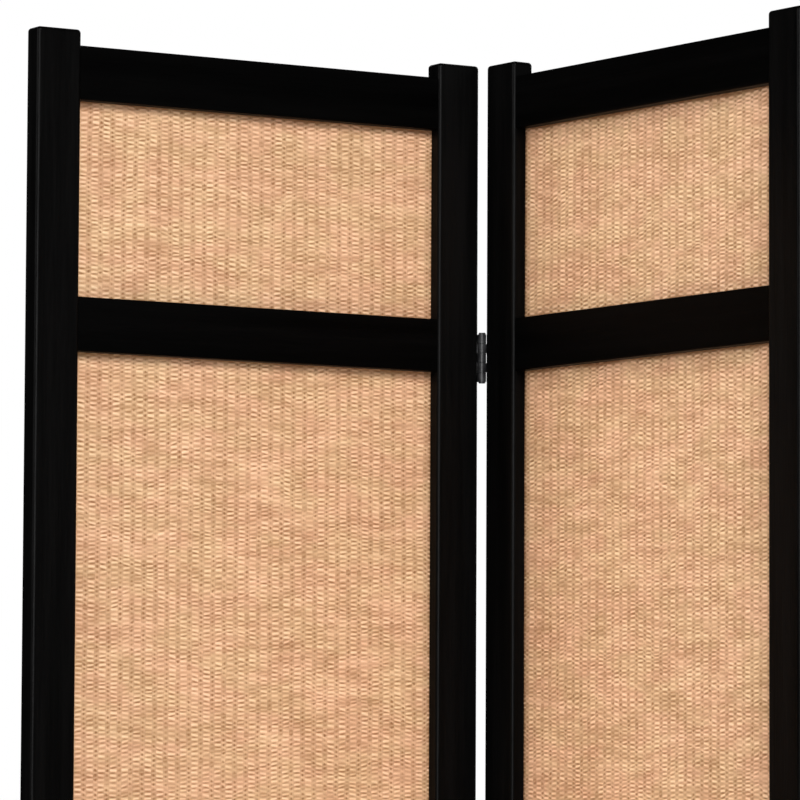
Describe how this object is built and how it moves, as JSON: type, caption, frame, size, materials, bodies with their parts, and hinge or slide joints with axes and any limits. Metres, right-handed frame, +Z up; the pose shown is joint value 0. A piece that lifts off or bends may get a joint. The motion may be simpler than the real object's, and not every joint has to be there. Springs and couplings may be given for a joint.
{
  "type": "folding screen",
  "caption": "Free-standing folding room divider: black wooden panels filled with woven natural fibre, joined by butt hinges into a zigzag.",
  "frame": {"origin": "on the floor, at the centre of the screen's box in its rest zigzag", "axes": "+Z up, +X along the screen from its first panel to its last, the front faces -Y"},
  "size_m": [1.2264, 0.2866, 1.7],
  "materials": {
    "frame_wood": "satin black stain and lacquer",
    "woven_fibre": "matt twisted paper cord, plain weave",
    "dowel_wood": "bare beech",
    "hinge_metal": "semi-gloss black",
    "screw_metal": "black zinc",
    "glide_plastic": "matt black nylon"
  },
  "bodies": {
    "panel_1": {"panel_1_left_stile": "frame_wood", "panel_1_right_stile": "frame_wood", "panel_1_top_rail": "frame_wood", "panel_1_middle_rail": "frame_wood", "panel_1_bottom_rail": "frame_wood", "panel_1_upper_weave": "woven_fibre", "panel_1_lower_weave": "woven_fibre", "panel_1_upper_beads": "frame_wood", "panel_1_lower_beads": "frame_wood", "panel_1_dowels": "dowel_wood", "panel_1_glides": "glide_plastic", "fold_1_left_leaves": "hinge_metal", "fold_1_pins": "hinge_metal", "fold_1_left_screws": "screw_metal"},
    "panel_2": {"panel_2_left_stile": "frame_wood", "panel_2_right_stile": "frame_wood", "panel_2_top_rail": "frame_wood", "panel_2_middle_rail": "frame_wood", "panel_2_bottom_rail": "frame_wood", "panel_2_upper_weave": "woven_fibre", "panel_2_lower_weave": "woven_fibre", "panel_2_upper_beads": "frame_wood", "panel_2_lower_beads": "frame_wood", "panel_2_dowels": "dowel_wood", "panel_2_glides": "glide_plastic", "fold_1_right_leaves": "hinge_metal", "fold_1_right_screws": "screw_metal", "fold_2_left_leaves": "hinge_metal", "fold_2_pins": "hinge_metal", "fold_2_left_screws": "screw_metal"},
    "panel_3": {"panel_3_left_stile": "frame_wood", "panel_3_right_stile": "frame_wood", "panel_3_top_rail": "frame_wood", "panel_3_middle_rail": "frame_wood", "panel_3_bottom_rail": "frame_wood", "panel_3_upper_weave": "woven_fibre", "panel_3_lower_weave": "woven_fibre", "panel_3_upper_beads": "frame_wood", "panel_3_lower_beads": "frame_wood", "panel_3_dowels": "dowel_wood", "panel_3_glides": "glide_plastic", "fold_2_right_leaves": "hinge_metal", "fold_2_right_screws": "screw_metal", "fold_3_left_leaves": "hinge_metal", "fold_3_pins": "hinge_metal", "fold_3_left_screws": "screw_metal"},
    "panel_4": {"panel_4_left_stile": "frame_wood", "panel_4_right_stile": "frame_wood", "panel_4_top_rail": "frame_wood", "panel_4_middle_rail": "frame_wood", "panel_4_bottom_rail": "frame_wood", "panel_4_upper_weave": "woven_fibre", "panel_4_lower_weave": "woven_fibre", "panel_4_upper_beads": "frame_wood", "panel_4_lower_beads": "frame_wood", "panel_4_dowels": "dowel_wood", "panel_4_glides": "glide_plastic", "fold_3_right_leaves": "hinge_metal", "fold_3_right_screws": "screw_metal"}
  },
  "joints": [
    {"name": "fold_1", "type": "hinge", "parent": "panel_2", "child": "panel_1", "pos_m": [-0.30856, 0.13124, 0.85], "axis": [0, 0, 1], "range_deg": [-87, 93]},
    {"name": "fold_2", "type": "hinge", "parent": "panel_2", "child": "panel_3", "pos_m": [0, -0.13124, 0.85], "axis": [0, 0, 1], "range_deg": [-87, 93]},
    {"name": "fold_3", "type": "hinge", "parent": "panel_3", "child": "panel_4", "pos_m": [0.30856, 0.13124, 0.85], "axis": [0, 0, -1], "range_deg": [-87, 93]}
  ]
}
